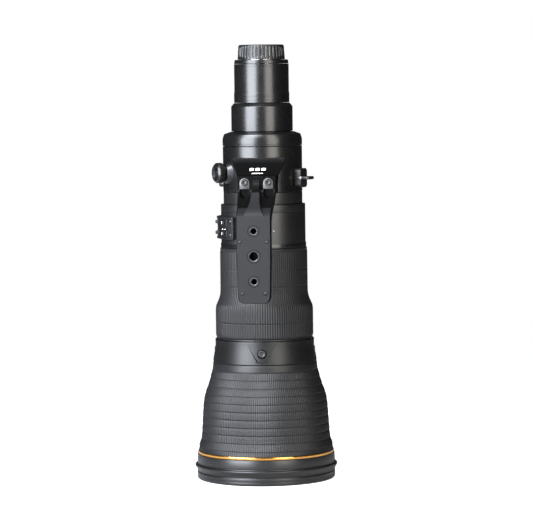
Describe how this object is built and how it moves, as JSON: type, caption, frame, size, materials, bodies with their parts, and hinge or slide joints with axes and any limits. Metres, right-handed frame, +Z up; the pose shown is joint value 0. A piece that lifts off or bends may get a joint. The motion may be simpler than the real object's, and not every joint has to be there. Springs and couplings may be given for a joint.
{
  "type": "super-telephoto camera lens",
  "caption": "Large super-telephoto lens for a single-lens reflex camera, standing on its front rim, with a rotating tripod collar and foot, ribbed rubber grips, a slip-in filter and a rear cap.",
  "frame": {"origin": "centre of the bounding box's bottom face, on the plane of the front rim; the optical axis stands at x = 0, y = +0.0143", "axes": "+Z up the optical axis from the front rim to the rear cap, -Y out of the tripod foot's face, +X to the right as seen from the foot"},
  "size_m": [0.1588, 0.1874, 0.4826],
  "materials": {
    "black_metal": "satin black paint on magnesium alloy",
    "black_plastic": "satin moulded plastic",
    "grip_rubber": "ribbed matt rubber",
    "foot_grey": "fine-grained grey coating",
    "gold_trim": "gold anodised, polished",
    "bare_steel": "machined",
    "mount_chrome": "plated",
    "contact_brass": "gold-plated contacts",
    "optical_glass": "coated optical glass",
    "circuit_green": "solder mask"
  },
  "bodies": {
    "barrel": {"front_rim": "black_metal", "front_barrel": "black_metal", "gold_ring": "gold_trim", "front_grip": "grip_rubber", "front_glass": "optical_glass", "front_element_1": "optical_glass", "front_element_2": "optical_glass", "function_band": "black_metal", "main_barrel": "black_metal", "distance_window": "optical_glass", "switch_panel": "black_plastic", "focus_motor": "bare_steel", "circuit_board": "circuit_green", "aperture_unit": "black_metal", "stabiliser_base": "black_metal", "collar_tube": "black_metal", "collar_retainer": "black_metal", "filter_housing": "black_metal", "rear_barrel": "black_metal", "rear_element": "optical_glass", "mount_gasket": "grip_rubber", "lens_mount": "mount_chrome", "contact_block": "contact_brass"},
    "function_button_1": {"function_button_1": "black_plastic"},
    "function_button_2": {"function_button_2": "black_plastic"},
    "function_button_3": {"function_button_3": "black_plastic"},
    "function_button_4": {"function_button_4": "black_plastic"},
    "focus_ring": {"focus_sleeve": "black_metal", "focus_grip": "grip_rubber"},
    "focus_group": {"focus_cell": "black_metal", "focus_element": "optical_glass"},
    "distance_scale": {"distance_scale": "black_plastic"},
    "focus_mode_switch": {"focus_mode_switch": "black_plastic"},
    "focus_limit_switch": {"focus_limit_switch": "black_plastic"},
    "stabiliser_switch": {"stabiliser_switch": "black_plastic"},
    "function_select_switch": {"function_select_switch": "black_plastic"},
    "memory_button": {"memory_button": "black_plastic"},
    "stabiliser_frame": {"stabiliser_frame": "bare_steel"},
    "stabiliser_cell": {"stabiliser_cell": "black_plastic", "stabiliser_element": "optical_glass"},
    "tripod_collar": {"collar_ring": "black_metal", "strap_lug_right": "black_metal", "strap_lug_left": "black_metal", "foot_bracket": "black_metal", "foot_plate": "foot_grey", "foot_bush_upper": "bare_steel", "foot_bush_middle": "bare_steel", "foot_bush_lower": "bare_steel", "foot_screw_1": "bare_steel", "foot_screw_2": "bare_steel", "foot_screw_3": "bare_steel", "foot_screw_4": "bare_steel", "foot_bolt_left": "bare_steel", "foot_bolt_right": "bare_steel"},
    "lock_knob": {"collar_lock_knob": "black_plastic", "collar_lock_screw": "bare_steel"},
    "filter_holder": {"filter_holder": "black_plastic", "filter_glass": "optical_glass"},
    "filter_knob": {"filter_knob": "black_plastic"},
    "rear_cap": {"rear_cap": "black_plastic"}
  },
  "joints": [
    {"name": "focus_turn", "type": "hinge", "parent": "barrel", "child": "focus_ring", "pos_m": [0, 0.0143, 0.2075], "axis": [0, 0, 1], "range_deg": [0, 180]},
    {"name": "focus_travel", "type": "slide", "parent": "barrel", "child": "focus_group", "axis": [0, 0, 1], "range_m": [0, 0.018]},
    {"name": "scale_turn", "type": "hinge", "parent": "barrel", "child": "distance_scale", "pos_m": [0, 0.0143, 0.2794], "axis": [0, 0, 1], "range_deg": [0, 110]},
    {"name": "collar_turn", "type": "hinge", "parent": "barrel", "child": "tripod_collar", "pos_m": [0, 0.0143, 0.3453], "axis": [0, 0, 1], "continuous": true},
    {"name": "lock_knob_turn", "type": "hinge", "parent": "tripod_collar", "child": "lock_knob", "pos_m": [-0.04543, -0.013, 0.3417], "axis": [-0.8572, -0.515, 0], "range_deg": [0, 330]},
    {"name": "mode_switch_slide", "type": "slide", "parent": "barrel", "child": "focus_mode_switch", "axis": [0.5878, -0.809, 0], "range_m": [-0.003, 0.003]},
    {"name": "limit_switch_slide", "type": "slide", "parent": "barrel", "child": "focus_limit_switch", "axis": [0.5878, -0.809, 0], "range_m": [-0.003, 0.003]},
    {"name": "stabiliser_switch_slide", "type": "slide", "parent": "barrel", "child": "stabiliser_switch", "axis": [0.1045, -0.9945, 0], "range_m": [-0.003, 0.003]},
    {"name": "function_switch_slide", "type": "slide", "parent": "barrel", "child": "function_select_switch", "axis": [0.1045, -0.9945, 0], "range_m": [-0.003, 0.003]},
    {"name": "memory_press", "type": "slide", "parent": "barrel", "child": "memory_button", "axis": [0.9205, -0.3907, 0], "range_m": [0, 0.0008], "stiffness_N_per_m": 1000},
    {"name": "function_press_1", "type": "slide", "parent": "barrel", "child": "function_button_1", "axis": [-0.0419, 0.9991, 0], "range_m": [0, 0.0008], "stiffness_N_per_m": 1000},
    {"name": "function_press_2", "type": "slide", "parent": "barrel", "child": "function_button_2", "axis": [0.9991, 0.0419, 0], "range_m": [0, 0.0008], "stiffness_N_per_m": 1000},
    {"name": "function_press_3", "type": "slide", "parent": "barrel", "child": "function_button_3", "axis": [0.0419, -0.9991, 0], "range_m": [0, 0.0008], "stiffness_N_per_m": 1000},
    {"name": "function_press_4", "type": "slide", "parent": "barrel", "child": "function_button_4", "axis": [-0.9991, -0.0419, 0], "range_m": [0, 0.0008], "stiffness_N_per_m": 1000},
    {"name": "stabiliser_shift_x", "type": "slide", "parent": "barrel", "child": "stabiliser_frame", "axis": [1, 0, 0], "range_m": [-0.0012, 0.0012], "stiffness_N_per_m": 500},
    {"name": "stabiliser_shift_y", "type": "slide", "parent": "stabiliser_frame", "child": "stabiliser_cell", "axis": [0, 1, 0], "range_m": [-0.0012, 0.0012], "stiffness_N_per_m": 500},
    {"name": "filter_slide", "type": "slide", "parent": "barrel", "child": "filter_holder", "axis": [0, 1, 0], "range_m": [0, 0.075]},
    {"name": "filter_knob_turn", "type": "hinge", "parent": "filter_holder", "child": "filter_knob", "pos_m": [0, 0.0503, 0.402], "axis": [0, 1, 0], "range_deg": [0, 90]},
    {"name": "cap_pull", "type": "slide", "parent": "barrel", "child": "rear_cap", "axis": [0, 0, 1], "range_m": [0, 0.04]}
  ],
  "couplings": [
    {"joint": "focus_travel", "follows": "focus_turn", "m_per_rad": 0.0057},
    {"joint": "scale_turn", "follows": "focus_turn", "ratio": 0.6}
  ]
}
